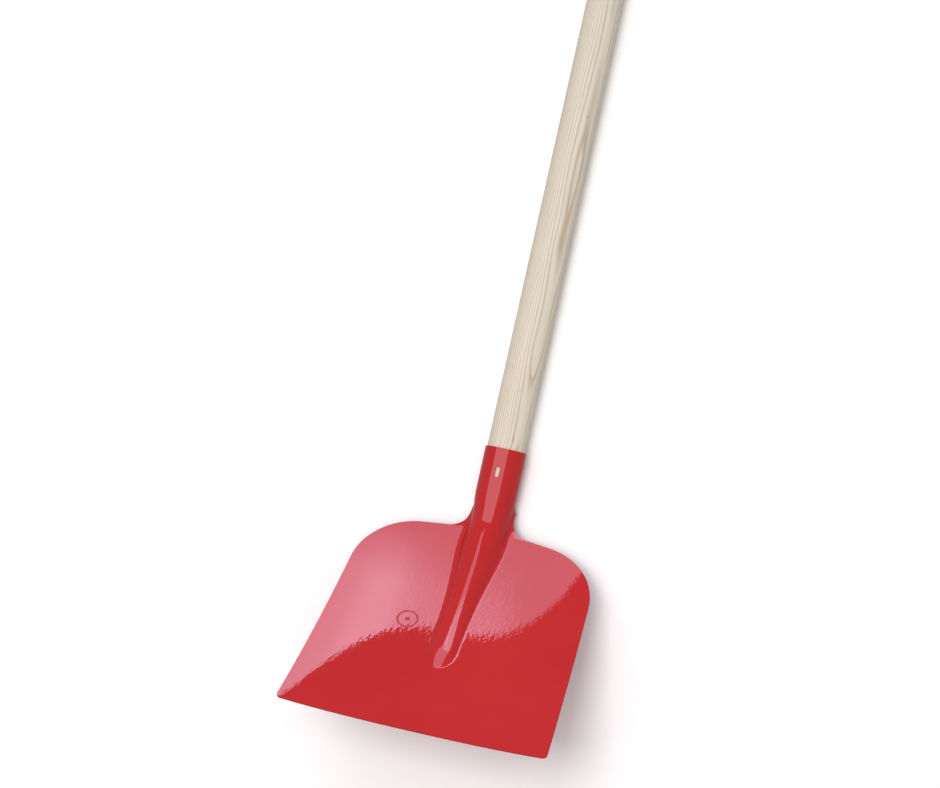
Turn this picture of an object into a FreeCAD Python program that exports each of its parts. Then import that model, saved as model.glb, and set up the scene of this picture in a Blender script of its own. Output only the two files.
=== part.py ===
import FreeCAD, Part
import math
import os
import Sketcher
from FreeCAD import Rotation, Vector

# Square-mouth roofing shovel: one pressed sheet with a rolled socket, a turned ash handle and a screw.
# Millimetres, +Z up. It lies on its back with the handle along +X and the cutting edge towards -X.

DIMENSIONS = (
    ("rim_x", -464.1),
    ("axis_height", 20.0),
    ("sheet_thickness", 1.5),
    ("socket_outer", 40.0),
    ("seam_gap", 1.2),
    ("seam_end", 38.0),
    ("neck_start", 42.0),
    ("neck_end", 84.0),
    ("neck_waist", 64.0),
    ("neck_half", 21.5),
    ("neck_fillet", 19.6),
    ("wing_drop", 5.0),
    ("heel_angle", 30.0),
    ("heel_start", 45.0),
    ("heel_end", 85.0),
    ("sweep_angle", 16.0),
    ("sweep_start", 65.0),
    ("blade_end", 329.3),
    ("shoulder_station", 86.3),
    ("shoulder_slope", 0.145),
    ("shoulder_radius", 62.0),
    ("side_flare", 0.055),
    ("edge_half", 126.4),
    ("blade_dish", 2.75),
    ("side_upturn", 1.6),
    ("corner_radius", 4.0),
    ("rib_nose_start", 226.0),
    ("rib_end", 249.0),
    ("rib_root_arc", 36.4),
    ("rib_nose_arc", 16.5),
    ("rib_arc_power", 1.5),
    ("rib_root_angle", 85.0),
    ("rib_nose_angle", 46.0),
    ("rib_angle_power", 1.25),
    ("rib_angle_end", 132.0),
    ("root_fillet_share", 0.22),
    ("nose_fillet_share", 0.34),
    ("root_flatness", -0.5),
    ("nose_flatness", 1.0),
    ("slot_station", 23.0),
    ("slot_length", 11.0),
    ("slot_width", 5.0),
    ("handle_length", 1248.0),
    ("handle_seat", 46.0),
    ("seat_radius", 18.35),
    ("grip_radius", 17.2),
    ("taper_length", 500.0),
    ("butt_radius", 6.0),
    ("tip_chamfer", 3.0),
    ("screw_angle", 140.0),
    ("screw_shank_radius", 2.0),
    ("screw_head_radius", 4.2),
    ("screw_head_height", 2.6),
    ("screw_length", 18.0),
    ("screw_slot_width", 1.2),
    ("screw_slot_depth", 1.1),
)

STATIONS = 84
COLUMNS = 48
STEP = 0.5
RIB_STEPS = 48

doc = FreeCAD.newDocument("RoofingShovel")
sheet = doc.addObject("Spreadsheet::Sheet", "Dims")
for row, (alias, value) in enumerate(DIMENSIONS, start=1):
    sheet.set("A%d" % row, alias)
    sheet.set("B%d" % row, str(value))
    sheet.setAlias("B%d" % row, alias)
doc.recompute()


sizes = {alias: float(sheet.get(alias)) for alias, _ in DIMENSIONS}


def dim(alias):
    return sizes[alias]


def ramp(value, low, high):
    """Smooth step from 0 at low to 1 at high."""
    share = min(max((value - low) / (high - low), 0.0), 1.0)
    return share * share * (3.0 - 2.0 * share)


def fade(p, low, high, root, nose, power):
    """Value that falls smoothly from the one at the rib's root to the one at its nose."""
    return nose + (root - nose) * (1.0 - ramp(p, low, high)) ** power


class PressedSheet:
    """Middle surface of the sheet: station p runs along the spine, q is the arc across it."""

    def __init__(self):
        self.radius = (dim("socket_outer") - dim("sheet_thickness")) / 2.0
        self.spine = self.trace_spine()

    def tilt(self, p):
        heel = math.radians(dim("heel_angle")) * ramp(p, dim("heel_start"), dim("heel_end"))
        along = (p - dim("sweep_start")) / (dim("blade_end") - dim("sweep_start"))
        return heel + math.radians(dim("sweep_angle")) * min(max(along, 0.0), 1.0)

    def trace_spine(self):
        points = [(0.0, -dim("wing_drop"))]
        count = int(math.ceil(dim("blade_end") / STEP)) + 2
        for index in range(count):
            angle = self.tilt((index + 0.5) * STEP)
            x, z = points[-1]
            points.append((x - STEP * math.cos(angle), z + STEP * math.sin(angle)))
        return points

    def spine_point(self, p):
        index = min(int(p / STEP), len(self.spine) - 2)
        share = p / STEP - index
        low, high = self.spine[index], self.spine[index + 1]
        return (low[0] + share * (high[0] - low[0]), low[1] + share * (high[1] - low[1]))

    def rib(self, p):
        """Arc from crest to foot, steepest angle, concave share and crest flatness at station p."""
        start, nose, end = dim("neck_start"), dim("rib_nose_start"), dim("rib_end")
        along = min(max((p - start) / (nose - start), 0.0), 1.0)
        arc = fade(p, start, nose, dim("rib_root_arc"), dim("rib_nose_arc"), dim("rib_arc_power"))
        steepest = math.radians(fade(p, start, dim("rib_angle_end"), dim("rib_root_angle"),
                                     dim("rib_nose_angle"), dim("rib_angle_power")))
        rounding = max(1.0 - max((p - nose) / (end - nose), 0.0) ** 2, 0.0001)
        share = dim("root_fillet_share")
        share += along * (dim("nose_fillet_share") - share)
        flatness = dim("root_flatness")
        flatness += along ** 2 * (dim("nose_flatness") - flatness)
        return arc * rounding ** 0.5, steepest * rounding, share, flatness

    def rib_angle(self, rib, q):
        arc, steepest, share, flatness = rib
        crest = (1.0 - share) * arc
        rise = min(q / crest, 1.0)
        return steepest * ((1.0 - flatness) * rise + flatness * rise ** 3) * (1.0 - ramp(q, crest, arc))

    def rib_run(self, rib):
        """Half width and height of the rib."""
        step = rib[0] / RIB_STEPS
        angles = [self.rib_angle(rib, (index + 0.5) * step) for index in range(RIB_STEPS)]
        return step * sum(map(math.cos, angles)), step * sum(map(math.sin, angles))

    def rib_excess(self, p):
        """Extra arc that the rib takes up compared with its half width."""
        rib = self.rib(p)
        return rib[0] - self.rib_run(rib)[0]

    def section(self, p, q):
        """Sideways distance and height above the wing level."""
        rib = self.rib(p)
        blend = ramp(p, dim("neck_start"), dim("neck_end"))
        count = max(int(math.ceil(q / STEP)), 1)
        step = q / count
        y, z = 0.0, (1.0 - blend) * (self.radius + dim("wing_drop")) + blend * self.rib_run(rib)[1]
        for index in range(count):
            place = (index + 0.5) * step
            slope = (1.0 - blend) * place / self.radius + blend * self.rib_angle(rib, place)
            y += step * math.cos(slope)
            z -= step * math.sin(slope)
        share = y / dim("edge_half")
        return y, z + blend * (dim("blade_dish") * share ** 2 + dim("side_upturn") * share ** 4)

    def point(self, p, q):
        y, z = self.section(p, q)
        x0, z0 = self.spine_point(p)
        angle = self.tilt(p)
        return Vector(x0 + z * math.sin(angle), y, z0 + z * math.cos(angle))


class BlankOutline:
    """Right half of the flat blank, as (station, arc) points at even spacing."""

    def __init__(self, pressed):
        self.pressed = pressed
        raw = self.seam() + [(p, y + pressed.rib_excess(p)) for p, y in self.blade()]
        self.points = self.even(raw)

    def seam(self):
        edge = math.pi * self.pressed.radius - dim("seam_gap") / 2.0
        waist = dim("neck_half") + self.pressed.rib_excess(dim("neck_waist"))
        start, end = dim("seam_end"), dim("neck_waist")
        points = [(start * index / 40.0, edge) for index in range(41)]
        for index in range(1, 60):
            share = index / 60.0
            drop = (1.0 - math.cos(math.pi * share)) / 2.0
            points.append((start + share * (end - start), edge + drop * (waist - edge)))
        return points

    def blade(self):
        slope, flare = dim("shoulder_slope"), dim("side_flare")
        shoulder = Vector(slope, 1.0, 0.0).normalize()
        side = Vector(1.0, flare, 0.0).normalize()
        neck_station = dim("shoulder_station") + slope * (dim("neck_half") - 60.0)
        neck_corner = Vector(neck_station, dim("neck_half"), 0.0)
        corner = Vector(dim("blade_end"), dim("edge_half"), 0.0)
        width = dim("edge_half") - flare * (dim("blade_end") - dim("shoulder_station") + 60.0 * slope)
        lobe_y = width / (1.0 - flare * slope)
        lobe_corner = Vector(dim("shoulder_station") + slope * (lobe_y - 60.0), lobe_y, 0.0)
        neck = round_corner(neck_corner, Vector(1.0, 0.0, 0.0), shoulder, dim("neck_fillet"))
        lobe = round_corner(lobe_corner, shoulder, side, dim("shoulder_radius"))
        points = neck + straight(neck[-1], lobe[0]) + lobe + straight(lobe[-1], corner) + [corner]
        return [(point.x, point.y) for point in points]

    def even(self, raw):
        lengths = [0.0]
        for low, high in zip(raw, raw[1:]):
            lengths.append(lengths[-1] + math.hypot(high[0] - low[0], high[1] - low[1]))
        points, index = [], 0
        for station in range(STATIONS + 1):
            target = lengths[-1] * station / STATIONS
            while index < len(raw) - 2 and lengths[index + 1] < target:
                index += 1
            share = (target - lengths[index]) / (lengths[index + 1] - lengths[index])
            low, high = raw[index], raw[index + 1]
            points.append(tuple(a + share * (b - a) for a, b in zip(low, high)))
        return points


def straight(start, end):
    count = 30
    return [start + (end - start) * (index / count) for index in range(1, count)]


def round_corner(corner, arriving, leaving, radius):
    """Arc of the given radius that joins two directions at a corner."""
    turn = math.acos(arriving.dot(leaving))
    reach = radius * math.tan(turn / 2.0)
    start = corner - arriving * reach
    side = 1.0 if arriving.x * leaving.y - arriving.y * leaving.x > 0.0 else -1.0
    normal = Vector(-arriving.y, arriving.x, 0.0) * side
    centre = start + normal * radius
    points = []
    for index in range(41):
        angle = turn * index / 40.0
        points.append(centre - normal * radius * math.cos(angle) + arriving * radius * math.sin(angle))
    return points


def build_grid(pressed):
    """Rows of middle-surface points from the rim to the cutting edge, for y >= 0."""
    outline = BlankOutline(pressed).points
    rows = []
    for (edge_p, edge_q), centre_p in zip(outline, centre_stations(outline)):
        foot = min(0.7 * edge_q, 1.12 * dim("rib_root_arc"))
        row = []
        for column in range(COLUMNS + 1):
            v = column / COLUMNS
            late = spread(v) / spread(1.0)
            early = (v - spread(v)) / (1.0 - spread(1.0))
            q = foot * early + (edge_q - foot) * late
            row.append(pressed.point(centre_p + (edge_p - centre_p) * v * v, q))
        rows.append(row)
    return rows


def spread(v):
    if v < 0.4:
        return 0.0
    if v < 0.6:
        return (v - 0.4) ** 2 / 0.4
    return v - 0.5


def centre_stations(outline):
    """Station on the centre line for each row: it follows the outline at an even pace past the neck."""
    lengths = [0.0]
    for low, high in zip(outline, outline[1:]):
        lengths.append(lengths[-1] + math.hypot(high[0] - low[0], high[1] - low[1]))
    waist = min(range(len(outline)), key=lambda index: outline[index][1])
    start, total = lengths[waist], lengths[-1]
    stations = []
    for index, length in enumerate(lengths):
        if index <= waist:
            stations.append(outline[index][0])
        else:
            share = (length - start) / (total - start)
            stations.append(outline[waist][0] + share * (dim("blade_end") - outline[waist][0]))
    return stations


def slope_at(values, index):
    """Second-order difference along a list of vectors."""
    if index == 0:
        return values[1] * 4.0 - values[0] * 3.0 - values[2]
    if index == len(values) - 1:
        return values[-1] * 3.0 - values[-2] * 4.0 + values[-3]
    return values[index + 1] - values[index - 1]


def mirror(row):
    return [Vector(point.x, -point.y, point.z) for point in reversed(row[1:])] + row


def offset_grid(rows, distance):
    columns = list(zip(*rows))
    moved = []
    for i, row in enumerate(rows):
        new_row = []
        for j, point in enumerate(row):
            normal = slope_at(row, j).cross(slope_at(columns[j], i)).normalize()
            new_row.append(point - normal * distance)
        moved.append(new_row)
    return moved


def clamped_knots(count):
    """Uniform knots and multiplicities of a clamped cubic with this many poles."""
    spans = count - 3
    return [float(knot) for knot in range(spans + 1)], [4] + [1] * (spans - 1) + [4]


def smooth_face(poles):
    surface = Part.BSplineSurface()
    u_knots, u_mults = clamped_knots(len(poles))
    v_knots, v_mults = clamped_knots(len(poles[0]))
    surface.buildFromPolesMultsKnots(poles, u_mults, v_mults, u_knots, v_knots, False, False, 3, 3)
    return surface.toShape()


def edge_face(front_poles, back_poles):
    """Ruled face across the thickness of the sheet."""
    surface = Part.BSplineSurface()
    knots, mults = clamped_knots(len(front_poles))
    poles = [list(pair) for pair in zip(front_poles, back_poles)]
    surface.buildFromPolesMultsKnots(poles, mults, [2, 2], knots, [0.0, 1.0], False, False, 3, 1)
    return surface.toShape()


def sheet_solid(pressed):
    middle = [mirror(row) for row in build_grid(pressed)]
    half = dim("sheet_thickness") / 2.0
    front, back = offset_grid(middle, half), offset_grid(middle, -half)
    faces = [smooth_face(front), smooth_face(back)]
    for index in (0, -1):
        faces.append(edge_face(front[index], back[index]))
        faces.append(edge_face([row[index] for row in front], [row[index] for row in back]))
    shell = Part.makeShell(faces)
    shell.sewShape()
    return Part.makeSolid(shell)


def corner_cutter(pressed, side):
    """Prism that rounds one end of the cutting edge when it is cut away."""
    angle = pressed.tilt(dim("blade_end"))
    normal = Vector(math.sin(angle), 0.0, math.cos(angle))
    corner = pressed.point(dim("blade_end"), dim("edge_half"))
    corner.y *= side
    inward = Vector(0.0, -side, 0.0)
    back = Vector(math.cos(angle), -side * dim("side_flare"), -math.sin(angle)).normalize()
    middle = (inward + back).normalize()
    half = inward.getAngle(back) / 2.0
    radius = dim("corner_radius")
    first, second = corner + inward * (radius / math.tan(half)), corner + back * (radius / math.tan(half))
    crown = corner + middle * (radius / math.sin(half) - radius)
    outside = corner - middle * radius
    outline = Part.Wire([
        Part.Arc(first, crown, second).toShape(),
        Part.makeLine(second, outside),
        Part.makeLine(outside, first),
    ])
    depth = normal * dim("sheet_thickness") * 3.0
    prism = Part.Face(outline).extrude(depth * 2.0)
    prism.translate(depth * -1.0)
    return prism


def freeform(name, shape):
    item = doc.addObject("Part::Feature", name)
    item.Shape = shape
    bind(item, {"Placement.Base.x": "Dims.rim_x", "Placement.Base.z": "Dims.axis_height"})
    return item


def bind(item, bindings):
    for path, expression in bindings.items():
        item.setExpression(path, expression)


def add_cylinder(name, bindings):
    cylinder = doc.addObject("Part::Cylinder", name)
    bind(cylinder, bindings)
    return cylinder


def slot_cutter():
    """Round-ended slot through the front of the socket wall."""
    base = "Dims.axis_height + Dims.socket_outer / 2 - Dims.sheet_thickness * 4"
    depth = "Dims.sheet_thickness * 8"
    reach = "(Dims.slot_length - Dims.slot_width) / 2"
    pieces = []
    for name, sign in (("SlotEndNear", "+"), ("SlotEndFar", "-")):
        pieces.append(add_cylinder(name, {
            "Radius": "Dims.slot_width / 2",
            "Height": depth,
            "Placement.Base.x": "Dims.rim_x - Dims.slot_station %s %s" % (sign, reach),
            "Placement.Base.z": base,
        }))
    middle = doc.addObject("Part::Box", "SlotMiddle")
    bind(middle, {
        "Length": "Dims.slot_length - Dims.slot_width",
        "Width": "Dims.slot_width",
        "Height": depth,
        "Placement.Base.x": "Dims.rim_x - Dims.slot_station - %s" % reach,
        "Placement.Base.y": "-Dims.slot_width / 2",
        "Placement.Base.z": base,
    })
    fused = doc.addObject("Part::MultiFuse", "SlotCutter")
    fused.Shapes = pieces + [middle]
    return fused


def aim_at_screw(item):
    """Stand an item on the handle axis with its own +Z along the screw axis."""
    item.Placement = FreeCAD.Placement(Vector(0.0, 0.0, 0.0), Rotation(Vector(-1.0, 0.0, 0.0), 90.0))
    bind(item, {
        "Placement.Rotation.Angle": "Dims.screw_angle * 1 deg",
        "Placement.Base.x": "Dims.rim_x - Dims.slot_station",
        "Placement.Base.z": "Dims.axis_height",
    })


def screw_bore(name, radius):
    bore = add_cylinder(name, {"Radius": radius, "Height": "Dims.socket_outer * 0.7"})
    aim_at_screw(bore)
    return bore


def plane_of(body, role):
    return next(item for item in body.Origin.OriginFeatures if item.Role == role)


def new_sketch(body, name, role):
    sketch = body.newObject("Sketcher::SketchObject", name)
    sketch.AttachmentSupport = [(plane_of(body, role), "")]
    sketch.MapMode = "FlatFace"
    return sketch


def draw_loop(sketch, corners):
    """Closed loop of lines whose corners follow expressions; None keeps a corner on that axis."""
    spots = []
    for across, up in corners:
        x = 0.0 if across is None else float(sheet.evalExpression(across))
        y = 0.0 if up is None else float(sheet.evalExpression(up))
        spots.append(Vector(x, y, 0.0))
    for index, spot in enumerate(spots):
        sketch.addGeometry(Part.LineSegment(spot, spots[(index + 1) % len(spots)]), False)
    for index in range(len(spots)):
        sketch.addConstraint(Sketcher.Constraint("Coincident", index, 2, (index + 1) % len(spots), 1))
    for index, (across, up) in enumerate(corners):
        tie_corner(sketch, index, "DistanceX", across, spots[index].x, -2)
        tie_corner(sketch, index, "DistanceY", up, spots[index].y, -1)


def tie_corner(sketch, index, kind, expression, value, axis):
    if expression is None:
        sketch.addConstraint(Sketcher.Constraint("PointOnObject", index, 1, axis))
        return
    number = sketch.addConstraint(Sketcher.Constraint(kind, index, 1, value))
    name = "corner%d_%s" % (index, kind)
    sketch.renameConstraint(number, name)
    sketch.setExpression("Constraints." + name, expression)


def revolve(body, sketch, axis):
    turned = body.newObject("PartDesign::Revolution", sketch.Name + "Turned")
    turned.Profile = sketch
    turned.ReferenceAxis = (sketch, [axis])
    turned.Angle = 360.0
    sketch.Visibility = False
    doc.recompute()
    return turned


def rim_edges(feature, axis, position, radius):
    """Names of the circular edges of a turned feature at one place along its axis."""
    names = []
    for number, edge in enumerate(feature.Shape.Edges, start=1):
        if not isinstance(edge.Curve, Part.Circle):
            continue
        along = edge.Curve.Center.dot(axis)
        if abs(along - position) < 0.01 and abs(edge.Curve.Radius - radius) < 0.01:
            names.append("Edge%d" % number)
    return names


def dress(body, kind, name, base, edges, path, expression):
    feature = body.newObject(kind, name)
    feature.Base = (base, edges)
    feature.setExpression(path, expression)
    doc.recompute()
    return feature


def build_handle():
    body = doc.addObject("PartDesign::Body", "HandleBody")
    bind(body, {"Placement.Base.x": "Dims.rim_x", "Placement.Base.z": "Dims.axis_height"})
    sketch = new_sketch(body, "HandleProfile", "XY_Plane")
    butt = "Dims.handle_length - Dims.handle_seat"
    draw_loop(sketch, (
        ("-Dims.handle_seat", None),
        ("-Dims.handle_seat", "Dims.seat_radius"),
        (None, "Dims.seat_radius"),
        ("Dims.taper_length", "Dims.grip_radius"),
        (butt, "Dims.grip_radius"),
        (butt, None),
    ))
    turned = revolve(body, sketch, "H_Axis")
    along = Vector(1.0, 0.0, 0.0)
    end = dim("handle_length") - dim("handle_seat")
    rounded = dress(body, "PartDesign::Fillet", "ButtRounding", turned,
                    rim_edges(turned, along, end, dim("grip_radius")), "Radius", "Dims.butt_radius")
    dress(body, "PartDesign::Chamfer", "TipChamfer", rounded,
          rim_edges(rounded, along, -dim("handle_seat"), dim("seat_radius")), "Size", "Dims.tip_chamfer")
    handle = doc.addObject("Part::Cut", "HandleDrilled")
    handle.Base = body
    handle.Tool = screw_bore("PilotHole", "Dims.screw_shank_radius")
    handle.Label = "handle"
    return handle


def build_screw():
    body = doc.addObject("PartDesign::Body", "ScrewBody")
    aim_at_screw(body)
    sketch = new_sketch(body, "ScrewProfile", "XZ_Plane")
    wall = "Dims.socket_outer / 2"
    tip = "Dims.socket_outer / 2 - Dims.screw_length"
    draw_loop(sketch, (
        (None, tip),
        ("Dims.screw_shank_radius", tip + " + Dims.screw_shank_radius * 1.5"),
        ("Dims.screw_shank_radius", wall),
        ("Dims.screw_head_radius", wall),
        ("Dims.screw_head_radius", wall + " + Dims.screw_head_height"),
        (None, wall + " + Dims.screw_head_height"),
    ))
    turned = revolve(body, sketch, "V_Axis")
    top = dim("socket_outer") / 2.0 + dim("screw_head_height")
    domed = dress(body, "PartDesign::Fillet", "HeadDome", turned,
                  rim_edges(turned, Vector(0.0, 0.0, 1.0), top, dim("screw_head_radius")),
                  "Radius", "Dims.screw_head_height * 0.8")
    slot = new_sketch(body, "DriverSlot", "XY_Plane")
    slot.setExpression("AttachmentOffset.Base.z", wall + " + Dims.screw_head_height")
    width, length = "Dims.screw_slot_width / 2", "Dims.screw_head_radius * 1.2"
    draw_loop(slot, (
        ("-" + length, "-" + width),
        (length, "-" + width),
        (length, width),
        ("-" + length, width),
    ))
    pocket = body.newObject("PartDesign::Pocket", "DriverSlotCut")
    pocket.Profile = slot
    pocket.setExpression("Length", "Dims.screw_slot_depth")
    slot.Visibility = False
    doc.recompute()
    if pocket.Shape.Volume >= domed.Shape.Volume:
        raise RuntimeError("the driver slot does not cut")
    body.Label = "handle_screw"
    return body


def build_blade_socket():
    pressed = PressedSheet()
    blank = freeform("PressedBlank", sheet_solid(pressed))
    cutters = doc.addObject("Part::Compound", "SocketCutters")
    cutters.Links = [
        slot_cutter(),
        screw_bore("ScrewHole", "Dims.screw_shank_radius + 0.2"),
        freeform("LeftCornerCutter", corner_cutter(pressed, 1.0)),
        freeform("RightCornerCutter", corner_cutter(pressed, -1.0)),
    ]
    socket = doc.addObject("Part::Cut", "SocketPierced")
    socket.Base = blank
    socket.Tool = cutters
    socket.Label = "blade_socket"
    return socket


def check_document():
    for item in doc.Objects:
        if "Invalid" in item.State or "Error" in item.State:
            raise RuntimeError("%s is in state %s" % (item.Label, item.State))


def write_parts(items):
    os.makedirs("parts", exist_ok=True)
    for item in items:
        if item.Shape.isNull() or not item.Shape.isValid():
            raise RuntimeError("%s has no valid shape" % item.Label)
        item.Shape.exportStep("parts/%s.step" % item.Label)


parts = [build_blade_socket(), build_handle(), build_screw()]
doc.recompute()
check_document()
write_parts(parts)
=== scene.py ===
import math

import bpy
import numpy as np
from mathutils import Matrix, Vector


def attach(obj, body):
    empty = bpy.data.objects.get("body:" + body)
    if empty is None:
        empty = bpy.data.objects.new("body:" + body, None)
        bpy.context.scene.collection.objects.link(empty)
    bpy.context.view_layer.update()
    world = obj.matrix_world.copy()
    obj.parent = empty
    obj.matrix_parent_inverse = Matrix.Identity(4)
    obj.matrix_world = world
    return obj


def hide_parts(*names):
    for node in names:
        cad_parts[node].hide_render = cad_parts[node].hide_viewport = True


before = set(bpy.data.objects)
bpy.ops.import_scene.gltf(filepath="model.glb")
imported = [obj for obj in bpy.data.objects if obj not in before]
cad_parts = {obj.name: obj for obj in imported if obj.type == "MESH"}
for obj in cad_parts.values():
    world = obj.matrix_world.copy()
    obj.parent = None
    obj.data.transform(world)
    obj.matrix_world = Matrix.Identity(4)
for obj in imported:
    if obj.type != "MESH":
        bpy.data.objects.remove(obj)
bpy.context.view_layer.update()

MM = 0.001

# Sizes of the pressed sheet in millimetres, as in the CAD source. Only BLADE_END and EDGE_HALF are a little
# smaller, because the faulty rim described in build_sheet would otherwise pass the box of the CAD.
SHEET = 1.5
SOCKET_RADIUS = 19.25
SEAM_GAP = 1.2
SEAM_END = 38.0
NECK = (42.0, 84.0)
NECK_WAIST = 64.0
NECK_HALF = 21.5
NECK_FILLET = 19.6
WING_DROP = 5.0
HEEL_ANGLE = math.radians(30.0)
HEEL = (45.0, 85.0)
SWEEP_ANGLE = math.radians(16.0)
SWEEP_START = 65.0
BLADE_END = 328.85
SHOULDER_STATION = 86.3
SHOULDER_MIDDLE = 60.0
SHOULDER_SLOPE = 0.145
SHOULDER_RADIUS = 62.0
SIDE_FLARE = 0.055
EDGE_HALF = 126.2
BLADE_DISH = 2.75
SIDE_UPTURN = 1.6
CORNER_RADIUS = 4.0
RIB_ARC = (36.4, 16.5)
RIB_ARC_POWER = 1.5
RIB_STEEPNESS = (math.radians(85.0), math.radians(46.0))
RIB_STEEPNESS_POWER = 1.25
RIB_STEEPNESS_END = 132.0
RIB_FLATNESS = (-0.5, 1.0)
RIB_FILLET_SHARE = (0.22, 0.34)
RIB_NOSE_START = 226.0
RIB_END = 249.0

# Holes as station, arc from the middle, half of the straight part and end radius.
SLOT = (23.0, 0.0, 3.0, 2.5)
SCREW_HOLE = (23.0, math.radians(140.0) * SOCKET_RADIUS, 0.0, 2.2)

# Finish of the sheet: depth of its rim, clearance to the ground, and the painted ring's place and radius.
EDGE_ROUND = 0.4
GROUND_GAP = 0.01
STAMP_PLACE = (200.0, 44.0)
STAMP_RADIUS = 10.5

# Place of the socket's rim in the row frame, and sizes of the handle along X from that rim.
RIM_X = -464.1
AXIS_HEIGHT = 20.0
HANDLE_SEAT = 46.0
HANDLE_LENGTH = 1248.0
HANDLE_END = HANDLE_LENGTH - HANDLE_SEAT
SEAT_RADIUS = 18.35
GRIP_RADIUS = 17.2
TAPER_LENGTH = 500.0
BUTT_ROUND = 6.0
TIP_CHAMFER = 3.0
TIP_FACE_RADIUS = 4.0
BUTT_FACE_RADIUS = 3.0

# Density of the meshes.
ROWS = 260
COLUMNS = 120
RIB_STEPS = 48
SPINE_STEP = 0.1
SEAM_POINTS = 80
CORNER_POINTS = 60
RIM_ANGLES = (22.5, 45.0, 67.5, 90.0)
HANDLE_SEGMENTS = 144
HANDLE_RINGS = 220
BUTT_RINGS = 12

# Grid of the sheet: where the early columns end, the overlap in which they give way to the late ones, and
# how far a hole reshapes the nodes round it.
FOOT_LIMIT = 0.7
FOOT_MARGIN = 1.12
SHARED_COLUMNS = (0.4, 0.6)
HOLE_BLOCK = 0.65
HOLE_REACH = 5.0


def ramp(value, low, high):
    """Smooth step from 0 at low to 1 at high."""
    share = np.clip((value - low) / (high - low), 0.0, 1.0)
    return share * share * (3.0 - 2.0 * share)


def tilt(p):
    """Angle of the sheet's middle line to the handle's axis at station p."""
    sweep = np.clip((p - SWEEP_START) / (BLADE_END - SWEEP_START), 0.0, 1.0)
    return HEEL_ANGLE * ramp(p, *HEEL) + SWEEP_ANGLE * sweep


def spine(p):
    """X and Z of the middle line at station p, from the rim of the socket."""
    spare = 2.0
    stations = np.arange(-spare, BLADE_END + 2.0 * spare, SPINE_STEP)
    angles = tilt(stations + SPINE_STEP / 2.0)
    start = int(round(spare / SPINE_STEP))
    x = -np.concatenate([[0.0], np.cumsum(SPINE_STEP * np.cos(angles))[:-1]])
    z = np.concatenate([[0.0], np.cumsum(SPINE_STEP * np.sin(angles))[:-1]])
    return np.interp(p, stations, x - x[start]), np.interp(p, stations, z - z[start]) - WING_DROP


def fade(p, high, ends, power):
    """Value that falls smoothly from the one at the rib's root to the one at its nose."""
    return ends[1] + (ends[0] - ends[1]) * (1.0 - ramp(p, NECK[0], high)) ** power


def rib(p):
    """Arc from crest to foot, steepest angle, concave share and crest flatness of the rib."""
    along = np.clip((p - NECK[0]) / (RIB_NOSE_START - NECK[0]), 0.0, 1.0)
    arc = fade(p, RIB_NOSE_START, RIB_ARC, RIB_ARC_POWER)
    steepest = fade(p, RIB_STEEPNESS_END, RIB_STEEPNESS, RIB_STEEPNESS_POWER)
    nose = np.maximum((p - RIB_NOSE_START) / (RIB_END - RIB_NOSE_START), 0.0)
    rounding = np.maximum(1.0 - nose ** 2, 0.0001)
    share = RIB_FILLET_SHARE[0] + along * (RIB_FILLET_SHARE[1] - RIB_FILLET_SHARE[0])
    flatness = RIB_FLATNESS[0] + along ** 2 * (RIB_FLATNESS[1] - RIB_FLATNESS[0])
    return arc * rounding ** 0.5, steepest * rounding, share, flatness


def rib_angle(p, q):
    """Slope of the rib's section at arc q from its crest."""
    arc, steepest, share, flatness = rib(p)
    crest = (1.0 - share) * arc
    rise = np.clip(q / crest, 0.0, 1.0)
    return steepest * ((1.0 - flatness) * rise + flatness * rise ** 3) * (1.0 - ramp(q, crest, arc))


def rib_run(p):
    """Half width and height of the rib."""
    p = np.asarray(p, float)[..., None]
    step = rib(p)[0] / RIB_STEPS
    angle = rib_angle(p, step * (np.arange(RIB_STEPS) + 0.5))
    return (step * np.cos(angle)).sum(-1), (step * np.sin(angle)).sum(-1)


def rib_excess(p):
    """Extra arc that the rib needs over its width."""
    return rib(p)[0] - rib_run(p)[0]


def bend(start, end, length):
    """Sideways and downward run of an arc whose angle goes from start to end."""
    middle, chord = (start + end) / 2.0, length * np.sinc((end - start) / 2.0 / math.pi)
    return chord * np.cos(middle), chord * np.sin(middle)


def sheet_point(p, q):
    """Middle surface at station p and signed arc q, in the row frame in millimetres."""
    side, q = np.where(q < 0.0, -1.0, 1.0), np.abs(q)
    blend = ramp(p, *NECK)
    roll = (1.0 - blend) / SOCKET_RADIUS
    near = np.minimum(q, rib(p)[0])
    step = near / RIB_STEPS
    y, drop = 0.0 * q, 0.0 * q
    for index in range(RIB_STEPS):
        place = step * (index + 0.5)
        angle = roll * place + blend * rib_angle(p, place)
        y, drop = y + step * np.cos(angle), drop + step * np.sin(angle)
    dy, dz = bend(roll * near, roll * q, q - near)
    y, drop = y + dy, drop + dz
    rise = (1.0 - blend) * (SOCKET_RADIUS + WING_DROP) + blend * rib_run(p)[1]
    share = y / EDGE_HALF
    z = rise - drop + blend * (BLADE_DISH * share ** 2 + SIDE_UPTURN * share ** 4)
    x0, z0 = spine(p)
    angle = tilt(p)
    return np.stack([RIM_X + x0 + z * np.sin(angle), side * y, AXIS_HEIGHT + z0 + z * np.cos(angle)], -1)


def sheet_normal(p, q):
    """Unit normal of the front of the sheet."""
    step = 0.05
    along = sheet_point(p + step, q) - sheet_point(p - step, q)
    across = sheet_point(p, q + step) - sheet_point(p, q - step)
    normal = np.cross(across, along)
    return normal / np.linalg.norm(normal, axis=-1, keepdims=True)


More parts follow.
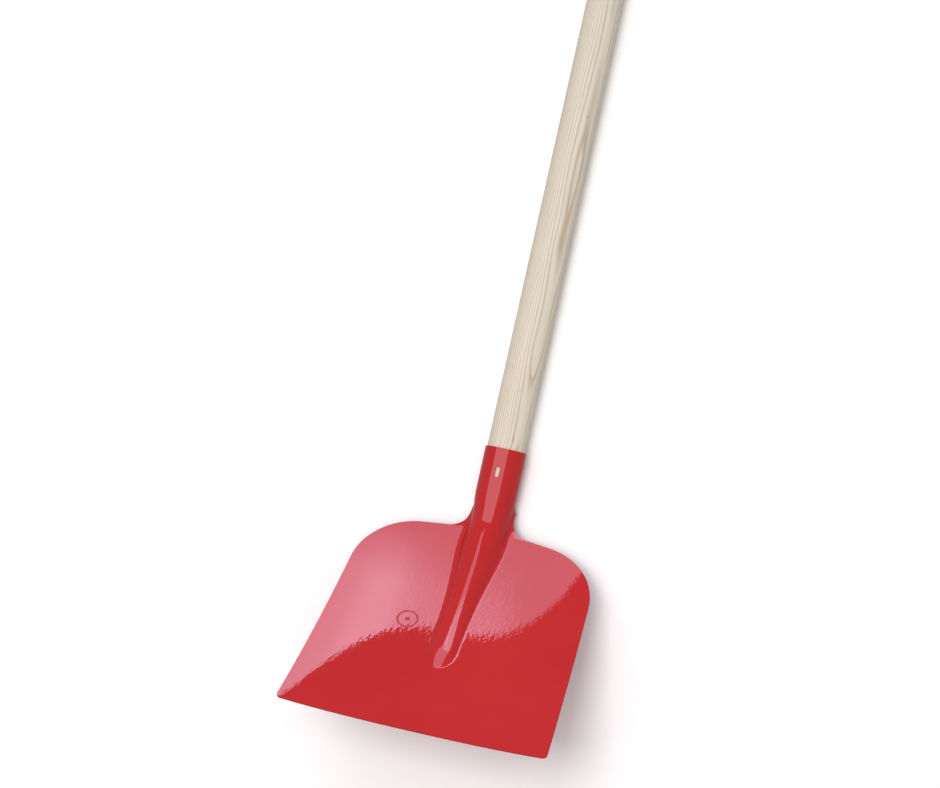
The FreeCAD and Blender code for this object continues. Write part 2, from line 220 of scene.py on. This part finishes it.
def round_corner(corner, arriving, leaving, radius):
    """Points of the arc that rounds a corner between two directions."""
    turn = math.acos(float(arriving @ leaving))
    reach = radius * math.tan(turn / 2.0)
    start = corner - arriving * reach
    normal = np.array([-arriving[1], arriving[0]])
    normal *= math.copysign(1.0, float(normal @ leaving))
    angles = np.linspace(0.0, turn, CORNER_POINTS)[:, None]
    return start + normal * radius * (1.0 - np.cos(angles)) + arriving * radius * np.sin(angles)


def outline():
    """Right half of the blank as (station, arc) points at even spacing."""
    edge = math.pi * SOCKET_RADIUS - SEAM_GAP / 2.0
    waist = NECK_HALF + float(rib_excess(NECK_WAIST))
    share = np.linspace(0.0, 1.0, 2 * CORNER_POINTS)[1:-1]
    opening = np.stack([SEAM_END + share * (NECK_WAIST - SEAM_END),
                        edge + (1.0 - np.cos(math.pi * share)) / 2.0 * (waist - edge)], -1)
    seam = np.stack([np.linspace(0.0, SEAM_END, SEAM_POINTS), np.full(SEAM_POINTS, edge)], -1)
    shoulder = np.array([SHOULDER_SLOPE, 1.0]) / math.hypot(SHOULDER_SLOPE, 1.0)
    side = np.array([1.0, SIDE_FLARE]) / math.hypot(1.0, SIDE_FLARE)
    width = EDGE_HALF - SIDE_FLARE * (BLADE_END - SHOULDER_STATION + SHOULDER_MIDDLE * SHOULDER_SLOPE)
    lobe_half = width / (1.0 - SIDE_FLARE * SHOULDER_SLOPE)
    neck_corner, lobe_corner = (
        np.array([SHOULDER_STATION + SHOULDER_SLOPE * (half - SHOULDER_MIDDLE), half])
        for half in (NECK_HALF, lobe_half))
    neck = round_corner(neck_corner, np.array([1.0, 0.0]), shoulder, NECK_FILLET)
    lobe = round_corner(lobe_corner, shoulder, side, SHOULDER_RADIUS)
    corners = np.vstack([neck, lobe, [[BLADE_END, EDGE_HALF]]])
    dense = []
    for low, high in zip(corners, corners[1:]):
        count = max(int(np.hypot(*(high - low))), 1)
        dense.append(low + (high - low) * np.arange(count)[:, None] / count)
    blade = np.vstack([*dense, corners[-1:]])
    blade[:, 1] += rib_excess(blade[:, 0])
    points = np.vstack([seam, opening, blade])
    lengths = np.concatenate([[0.0], np.cumsum(np.hypot(*np.diff(points, axis=0).T))])
    targets = np.linspace(0.0, lengths[-1], ROWS + 1)
    return np.stack([np.interp(targets, lengths, points[:, k]) for k in (0, 1)], -1), targets


def spread(v):
    """Part of a column's share v that belongs to the late columns, smooth where they take over."""
    low, high = SHARED_COLUMNS
    return np.where(v < low, 0.0, np.where(v < high, (v - low) ** 2 / (2.0 * (high - low)), v - 0.5))


def blank_grid():
    """Stations and arcs of every node of the sheet: rows fan out from the neck to the blade."""
    edge, lengths = outline()
    waist = int(np.argmin(edge[:, 1]))
    share = (lengths - lengths[waist]) / (lengths[-1] - lengths[waist])
    centre = np.where(share <= 0.0, edge[:, 0], edge[waist, 0] + share * (BLADE_END - edge[waist, 0]))
    foot = np.minimum(FOOT_LIMIT * edge[:, 1], FOOT_MARGIN * RIB_ARC[0])[:, None]
    v = np.linspace(0.0, 1.0, COLUMNS + 1)[None, :]
    late, early = spread(v) / 0.5, (v - spread(v)) / 0.5
    q = foot * early + (edge[:, 1:] - foot) * late
    p = centre[:, None] + (edge[:, :1] - centre[:, None]) * v ** 2
    return np.hstack([p[:, :0:-1], p]), np.hstack([-q[:, :0:-1], q])


def round_blank_corners(p, q):
    """Pull the nodes near the two ends of the cutting edge onto a quarter disc."""
    limit = q[-1, -1]
    u = 1.0 - (BLADE_END - p) / CORNER_RADIUS
    v = 1.0 - (limit - np.abs(q)) / CORNER_RADIUS
    near = (u > 0.0) & (v > 0.0)
    uc, vc = np.clip(u, 0.0, 1.0), np.clip(v, 0.0, 1.0)
    new_p = BLADE_END - CORNER_RADIUS * (1.0 - uc * np.sqrt(1.0 - vc ** 2 / 2.0))
    new_q = np.sign(q) * (limit - CORNER_RADIUS * (1.0 - vc * np.sqrt(1.0 - uc ** 2 / 2.0)))
    return np.where(near, new_p, p), np.where(near, new_q, q)


def open_hole(p, q, hole):
    """Shape the grid round a hole; returns the new grid and the block of nodes to drop."""
    station, arc, half, radius = hole
    reach = radius + HOLE_REACH
    rows = np.where(np.abs(p[:, COLUMNS] - station) <= half + HOLE_BLOCK * radius)[0]
    cols = np.where(np.abs(q[rows[0]] - arc) <= HOLE_BLOCK * radius)[0]
    block = (rows[0], rows[-1], cols[0], cols[-1])
    low_p, high_p = p[rows[0], cols[0]], p[rows[-1], cols[0]]
    low_q, high_q = q[rows[0], cols[0]], q[rows[0], cols[-1]]
    anchor = np.clip(p, station - half, station + half)
    dp, dq = p - anchor, q - arc
    distance = np.hypot(dp, dq)
    safe = np.maximum(distance, 1e-9)
    up, uq = dp / safe, dq / safe
    with np.errstate(divide="ignore", invalid="ignore"):
        wall_p = np.where(up > 0.0, (high_p - station - half) / up, (low_p - station + half) / up)
        wall_q = np.where(uq > 0.0, (high_q - arc) / uq, (low_q - arc) / uq)
    wall_p = np.where(np.abs(up) < 1e-6, np.inf, wall_p)
    wall_q = np.where(np.abs(uq) < 1e-6, np.inf, wall_q)
    wall = np.minimum(wall_p, wall_q)
    moved = radius + (distance - wall) * (reach - radius) / (reach - wall)
    near = (distance < reach) & (distance >= wall - 1e-6)
    return np.where(near, anchor + up * moved, p), np.where(near, arc + uq * moved, q), block


def loop_nodes(cols, block):
    """Node numbers round a block of the grid, in order."""
    top, bottom, left, right = block
    ring = [(top, c) for c in range(left, right)]
    ring += [(r, right) for r in range(top, bottom)]
    ring += [(bottom, c) for c in range(right, left, -1)]
    ring += [(r, left) for r in range(bottom, top, -1)]
    return np.array([r * cols + c for r, c in ring])


def front_quads(rows, cols, blocks):
    """Quads of the front of the grid, apart from those inside the holes."""
    kept = np.ones((rows - 1, cols - 1), bool)
    for top, bottom, left, right in blocks:
        kept[top:bottom, left:right] = False
    row, col = np.where(kept)
    corner = row * cols + col
    return np.stack([corner, corner + 1, corner + cols + 1, corner + cols], -1)


def rim_layers(base, normal, out):
    """Points and normals of a rim, with a quarter circle at each face, from the front to the back."""
    quarter = [(math.sin(angle), math.cos(angle), 1.0) for angle in np.radians(RIM_ANGLES)]
    profile = quarter + [(lean, rise, -1.0) for lean, rise, face in reversed(quarter)]
    flat = SHEET / 2.0 - EDGE_ROUND
    for lean, rise, face in profile:
        height = face * (flat + EDGE_ROUND * rise)
        points = base + out * EDGE_ROUND * (lean - 1.0) + normal * height
        yield points, out * lean + normal * rise * face


def build_sheet():
    """Vertices, quads and normals of the sheet: its front, its back and then its rims.

    Known fault: the direction called out points into the sheet instead of away from it. The front and the
    back therefore stand EDGE_ROUND past the outline, and the rims between them are hollow and face inward.
    """
    p, q = round_blank_corners(*blank_grid())
    rows, cols = p.shape
    p, q, slot = open_hole(p, q, SLOT)
    p, q, bore = open_hole(p, q, SCREW_HOLE)
    middle = sheet_point(p, q).reshape(-1, 3)
    normal = sheet_normal(p, q).reshape(-1, 3)
    front, back = middle + normal * SHEET / 2.0, middle - normal * SHEET / 2.0
    quads = front_quads(rows, cols, (slot, bore))
    faces = [quads, quads[:, [0, 3, 2, 1]] + len(front)]
    rim_points, rim_normals = [], []
    made = len(front) + len(back)
    outline_block = (0, rows - 1, 0, cols - 1)
    for block, outward in ((outline_block, 1.0), (slot, -1.0), (bore, -1.0)):
        ring = loop_nodes(cols, block)
        along = middle[np.roll(ring, -1)] - middle[np.roll(ring, 1)]
        out = outward * np.cross(normal[ring], along)
        out /= np.linalg.norm(out, axis=-1, keepdims=True)
        front[ring] -= out * EDGE_ROUND
        back[ring] -= out * EDGE_ROUND
        layers = [ring]
        for points, leaning in rim_layers(middle[ring], normal[ring], out):
            layers.append(made + np.arange(len(ring)))
            rim_points.append(points)
            rim_normals.append(leaning)
            made += len(ring)
        layers.append(ring + len(front))
        for upper, lower in zip(layers, layers[1:]):
            quad = [upper, lower, np.roll(lower, -1), np.roll(upper, -1)]
            faces.append(np.stack(quad if outward < 0.0 else quad[::-1], -1))
    vertices = np.vstack([front, back, *rim_points])
    vertices[:, 2] = np.maximum(vertices[:, 2], GROUND_GAP)
    return vertices * MM, np.vstack(faces), np.vstack([normal, -normal, *rim_normals])


def add_object(name, mesh, material):
    mesh.materials.append(material)
    item = bpy.data.objects.new(name, mesh)
    bpy.context.scene.collection.objects.link(item)
    return item


def add_sheet():
    vertices, faces, normals = build_sheet()
    used = np.unique(faces)
    lookup = np.full(len(vertices), -1)
    lookup[used] = np.arange(len(used))
    mesh = bpy.data.meshes.new("BladeSheet")
    mesh.from_pydata(vertices[used].tolist(), [], lookup[faces].tolist())
    mesh.polygons.foreach_set("use_smooth", [True] * len(mesh.polygons))
    mesh.update()
    mesh.normals_split_custom_set_from_vertices(normals[used].tolist())
    return add_object("BladeSheet", mesh, red_enamel())


def handle_profile():
    """Distance from the socket's rim and radius of every ring of the pole, from the tip to the butt."""
    profile = [(-HANDLE_SEAT, TIP_FACE_RADIUS), (-HANDLE_SEAT, SEAT_RADIUS - TIP_CHAMFER)]
    profile.append((-HANDLE_SEAT + TIP_CHAMFER, SEAT_RADIUS))
    for x in np.linspace(2.0 * TIP_CHAMFER - HANDLE_SEAT, HANDLE_END - BUTT_ROUND, HANDLE_RINGS):
        share = min(max(x / TAPER_LENGTH, 0.0), 1.0)
        profile.append((x, SEAT_RADIUS + share * (GRIP_RADIUS - SEAT_RADIUS)))
    for angle in np.linspace(0.0, math.pi / 2.0, BUTT_RINGS + 1)[1:]:
        profile.append((HANDLE_END - BUTT_ROUND * (1.0 - math.sin(angle)),
                        GRIP_RADIUS - BUTT_ROUND * (1.0 - math.cos(angle))))
    profile.append((HANDLE_END, BUTT_FACE_RADIUS))
    return profile


def add_handle():
    """Turned pole: rings of points along X, closed with one flat face at each end.

    Known fault: all its faces wind inward, so the mesh is inside out.
    """
    turn = np.linspace(0.0, 2.0 * math.pi, HANDLE_SEGMENTS, endpoint=False)
    rings = [np.stack([np.full(HANDLE_SEGMENTS, RIM_X + x), radius * np.cos(turn),
                       AXIS_HEIGHT + radius * np.sin(turn)], -1) for x, radius in handle_profile()]
    vertices = np.vstack(rings) * MM
    index = np.arange(HANDLE_SEGMENTS)
    following = np.roll(index, -1)
    faces = []
    for low in range(0, len(vertices) - HANDLE_SEGMENTS, HANDLE_SEGMENTS):
        high = low + HANDLE_SEGMENTS
        faces += np.stack([low + index, high + index, high + following, low + following], -1).tolist()
    faces.append(list(range(HANDLE_SEGMENTS)))
    faces.append(list(range(len(vertices) - 1, len(vertices) - HANDLE_SEGMENTS - 1, -1)))
    mesh = bpy.data.meshes.new("HandlePole")
    mesh.from_pydata(vertices.tolist(), [], faces)
    mesh.polygons.foreach_set("use_smooth", [len(face) == 4 for face in faces])
    return add_object("HandlePole", mesh, ash_wood())


class Nodes:
    """Small helper for building the node tree of a material or a light."""

    def __init__(self, owner):
        owner.use_nodes = True
        self.owner = owner
        self.tree = owner.node_tree

    def add(self, kind, inputs=None, **settings):
        node = self.tree.nodes.new(kind)
        for key, value in settings.items():
            setattr(node, key, value)
        for key, value in (inputs or {}).items():
            self.put(node.inputs[key], value)
        return node

    def put(self, socket, value):
        if isinstance(value, bpy.types.NodeSocket):
            self.tree.links.new(value, socket)
        else:
            socket.default_value = value

    def math(self, operation, *values):
        node = self.add("ShaderNodeMath", operation=operation)
        for socket, value in zip(node.inputs, values):
            self.put(socket, value)
        return node.outputs[0]

    def vector(self, operation, first, second):
        """Vector operation whose result is one number."""
        node = self.add("ShaderNodeVectorMath", {0: first, 1: second}, operation=operation)
        return node.outputs["Value"]

    def ramp(self, factor, *stops):
        node = self.add("ShaderNodeValToRGB", {"Fac": factor})
        elements = node.color_ramp.elements
        while len(elements) < len(stops):
            elements.new(0.5)
        for element, (position, colour) in zip(elements, stops):
            element.position = position
            element.color = (*colour, 1.0)
        return node.outputs[0]

    def curve(self, factor, *stops):
        """Ramp between plain numbers."""
        return self.ramp(factor, *((position, (value,) * 3) for position, value in stops))

    def between(self, value, low, high, start, end):
        """Number that goes from start to end while the value goes from low to high."""
        inputs = {0: value, 1: low, 2: high, 3: start, 4: end}
        return self.add("ShaderNodeMapRange", inputs).outputs[0]

    def tinted(self, amount, colour, tint):
        """Colour multiplied by a tint."""
        inputs = {0: amount, 6: colour, 7: tint}
        node = self.add("ShaderNodeMix", inputs, data_type="RGBA", blend_type="MULTIPLY")
        return node.outputs[2]

    def noise(self, vector, scale, detail=2.0, roughness=0.5):
        return self.add("ShaderNodeTexNoise", {
            "Vector": vector, "Scale": scale, "Detail": detail, "Roughness": roughness}).outputs[0]

    def bump(self, height, strength, distance):
        inputs = {"Strength": strength, "Distance": distance, "Height": height}
        return self.add("ShaderNodeBump", inputs).outputs[0]

    def place(self, x=1.0, y=1.0, z=1.0):
        """Place on the object in metres, times a scale for each axis."""
        coordinates = self.add("ShaderNodeTexCoord").outputs["Object"]
        return self.add("ShaderNodeMapping", {"Vector": coordinates, "Scale": (x, y, z)}).outputs[0]

    def surface(self, **values):
        shader = self.tree.nodes["Principled BSDF"]
        for key, value in values.items():
            self.put(shader.inputs[key.replace("_", " ")], value)
        return self.owner


def new_nodes(name):
    return Nodes(bpy.data.materials.new(name))


def red_enamel():
    """Glossy enamel with a slightly uneven surface and a ring with a dot stamped in a matt, darker red."""
    nodes = new_nodes("RedEnamel")
    place = nodes.place()
    centre = sheet_point(np.array(STAMP_PLACE[0]), np.array(STAMP_PLACE[1])) * MM
    away = nodes.math("DIVIDE", nodes.vector("DISTANCE", place, tuple(centre)), STAMP_RADIUS * MM)
    dot, ring = ((0.0, 1.0), (0.2, 1.0), (0.25, 0.0)), ((0.78, 0.0), (0.83, 1.0), (0.95, 1.0), (1.0, 0.0))
    stamp = nodes.curve(away, *dot, *ring)
    cloud = nodes.noise(place, 9.0, 3.0)
    colour = nodes.ramp(cloud, (0.3, (0.44, 0.011, 0.014)), (0.7, (0.48, 0.014, 0.017)))
    peel = nodes.noise(place, 300.0, 1.0, 0.5)
    wave = nodes.noise(place, 80.0, 1.0, 0.4)
    height = nodes.math("ADD", peel, nodes.math("MULTIPLY", wave, 0.2))
    gloss = nodes.curve(nodes.noise(place, 60.0, 4.0), (0.35, 0.01), (0.75, 0.03))
    return nodes.surface(
        Base_Color=nodes.tinted(stamp, colour, (0.85, 0.75, 0.75, 1.0)),
        Roughness=nodes.math("ADD", gloss, nodes.math("MULTIPLY", stamp, 0.4)),
        Normal=nodes.bump(height, 0.5, 0.00002))


def ash_wood():
    """Growth rings round a pith beside and above the pole, so one side shows lines, the other loops."""
    pith_y, pith_z, rings_per_metre = -0.042, 0.066, 440.0
    late_wood, early_wood = (0.50, 0.40, 0.28), (0.70, 0.645, 0.54)
    nodes = new_nodes("AshWood")
    parts = nodes.add("ShaderNodeSeparateXYZ", {"Vector": nodes.place()})
    drift = nodes.noise(nodes.place(6.0, 16.0, 16.0), 1.0, 1.0, 0.5)
    wobble = nodes.noise(nodes.place(14.0, 70.0, 70.0), 1.0, 2.0, 0.5)
    y = nodes.math("SUBTRACT", parts.outputs[1], pith_y)
    z = nodes.math("SUBTRACT", parts.outputs[2], pith_z)
    squares = nodes.math("ADD", nodes.math("MULTIPLY", y, y), nodes.math("MULTIPLY", z, z))
    radius = nodes.math("SQRT", squares)
    rings = nodes.math("MULTIPLY", radius, rings_per_metre)
    rings = nodes.math("ADD", rings, nodes.math("MULTIPLY", drift, 5.0))
    rings = nodes.math("ADD", rings, nodes.math("MULTIPLY", wobble, 0.7))
    band = nodes.ramp(nodes.math("FRACT", rings), (0.0, late_wood), (0.14, (0.60, 0.52, 0.405)),
                      (0.4, early_wood), (0.86, (0.69, 0.625, 0.515)), (1.0, late_wood))
    fibre = nodes.noise(nodes.place(16.0, 1500.0, 1500.0), 1.0, 3.0, 0.6)
    streak = nodes.ramp(fibre, (0.3, (0.84, 0.82, 0.80)), (0.6, (1.0, 1.0, 1.0)))
    fleck = nodes.noise(nodes.place(90.0, 420.0, 420.0), 1.0, 1.0, 0.5)
    speck = nodes.ramp(fleck, (0.76, (1.0, 1.0, 1.0)), (0.8, (0.62, 0.5, 0.4)))
    return nodes.surface(
        Base_Color=nodes.tinted(1.0, nodes.tinted(0.8, band, streak), speck),
        Roughness=nodes.curve(fibre, (0.3, 0.70), (0.7, 0.58)),
        Normal=nodes.bump(fibre, 0.4, 0.0001))


def zinc():
    nodes = new_nodes("ZincScrew")
    grain = nodes.noise(nodes.place(), 900.0, 4.0, 0.6)
    return nodes.surface(
        Base_Color=nodes.ramp(grain, (0.35, (0.50, 0.50, 0.47)), (0.7, (0.68, 0.67, 0.62))),
        Roughness=nodes.curve(grain, (0.3, 0.28), (0.7, 0.45)),
        Normal=nodes.bump(grain, 0.3, 0.00005), Metallic=1.0)


def pale_floor():
    return new_nodes("PaleFloor").surface(
        Base_Color=(0.95, 0.95, 0.95, 1.0), Roughness=0.9, Specular_IOR_Level=0.1)


def add_floor():
    size = 6.0
    corners = [(-size, -size, 0.0), (size, -size, 0.0), (size, size, 0.0), (-size, size, 0.0)]
    mesh = bpy.data.meshes.new("Floor")
    mesh.from_pydata(corners, [], [(0, 1, 2, 3)])
    floor = add_object("Floor", mesh, pale_floor())
    floor.visible_glossy = False


def add_panel(name, centre, facing, upright, size, power, colour):
    """Soft rectangular light that faces a point, with its long side along the upright direction."""
    light = bpy.data.lights.new(name, "AREA")
    light.shape = "RECTANGLE"
    light.size, light.size_y = size
    light.energy = power
    light.color = colour
    item = bpy.data.objects.new(name, light)
    away = (Vector(centre) - Vector(facing)).normalized()
    up = (Vector(upright) - away * away.dot(Vector(upright))).normalized()
    axes = Matrix((up.cross(away), up, away)).transposed()
    item.matrix_world = Matrix.Translation(centre) @ axes.to_4x4()
    item.visible_camera = False
    bpy.context.scene.collection.objects.link(item)
    return item


def grade_light(light):
    """Uneven glow of a panel, in metres from its centre: slanted hot band, plain rest and a slanted end."""
    nodes = Nodes(light)
    place = nodes.add("ShaderNodeNewGeometry").outputs["Parametric"]
    metres = nodes.add("ShaderNodeMapping", {
        "Vector": place, "Scale": (light.size, light.size_y, 0.0),
        "Location": (-light.size / 2.0, -light.size_y / 2.0, 0.0)}).outputs[0]
    across = nodes.math("ADD", nodes.vector("DOT_PRODUCT", metres, (1.0, 0.483, 0.0)), 0.3)
    band = nodes.curve(across, (0.2, 0.53), (0.35, 0.62), (0.5, 1.0), (0.58, 1.0), (0.64, 0.5), (0.7, 0.0))
    upward = nodes.add("ShaderNodeSeparateXYZ", {0: metres}).outputs[1]
    hot = nodes.math("MULTIPLY", band, nodes.between(upward, -0.72, -0.12, 1.0, 0.0))
    glow = nodes.between(hot, 0.0, 1.0, 0.36, 0.93)
    end = nodes.curve(nodes.vector("DOT_PRODUCT", metres, (1.0, 0.13, 0.0)), (0.735, 1.0), (0.745, 0.0))
    nodes.put(nodes.tree.nodes["Emission"].inputs["Strength"], nodes.math("MULTIPLY", glow, end))


def add_world():
    world = bpy.data.worlds.new("Studio")
    world.use_nodes = True
    background = world.node_tree.nodes["Background"]
    background.inputs["Color"].default_value = (1.0, 1.0, 1.0, 1.0)
    background.inputs["Strength"].default_value = 0.35
    bpy.context.scene.world = world


def add_lights():
    """Two lights above the blade for its shadow, and two softboxes for what the enamel reflects."""
    above = add_panel("TopLight", centre=(-0.60, 0.04, 2.30), facing=(-0.62, 0.0, 0.05),
                      upright=(1.0, 0.0, 0.0), size=(0.7, 0.7), power=20.0, colour=(1.0, 0.98, 0.96))
    fill = add_panel("CeilingFill", centre=(-0.60, 0.05, 2.30), facing=(-0.60, 0.05, 0.0),
                     upright=(1.0, 0.0, 0.0), size=(2.4, 2.4), power=25.0, colour=(1.0, 0.98, 0.97))
    key = add_panel("KeySoftbox", centre=(-0.16, 0.36, 1.55), facing=(-0.16, 0.36, 0.0),
                    upright=(0.0, 1.0, 0.0), size=(1.12, 2.2), power=17.4, colour=(0.9, 0.93, 1.0))
    end = add_panel("EndSoftbox", centre=(4.62, 0.766, 2.72), facing=(-0.62, 0.0, 0.10),
                    upright=(-0.267, 0.353, 0.897), size=(2.1, 5.66), power=261.0, colour=(0.84, 0.79, 1.0))
    above.visible_glossy = False
    fill.visible_glossy = False
    key.visible_diffuse = False
    grade_light(end.data)


def add_camera():
    camera = bpy.data.cameras.new("Camera")
    camera.lens = 102.3
    camera.sensor_width = 36.0
    camera.clip_end = 50.0
    item = bpy.data.objects.new("Camera", camera)
    item.location = (-0.6344, -0.4953, 2.5241)
    item.rotation_euler = tuple(math.radians(angle) for angle in (7.382, 10.870, -77.312))
    bpy.context.scene.collection.objects.link(item)
    bpy.context.scene.camera = item


def dress(item, node):
    """Show a mesh in place of a CAD node."""
    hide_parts(node)
    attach(item, "root")


dress(add_sheet(), "blade_socket")
dress(add_handle(), "handle")

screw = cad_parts["handle_screw"]
screw.data.materials.clear()
screw.data.materials.append(zinc())

add_floor()
add_world()
add_lights()
add_camera()
bpy.context.scene.view_settings.view_transform = "Standard"
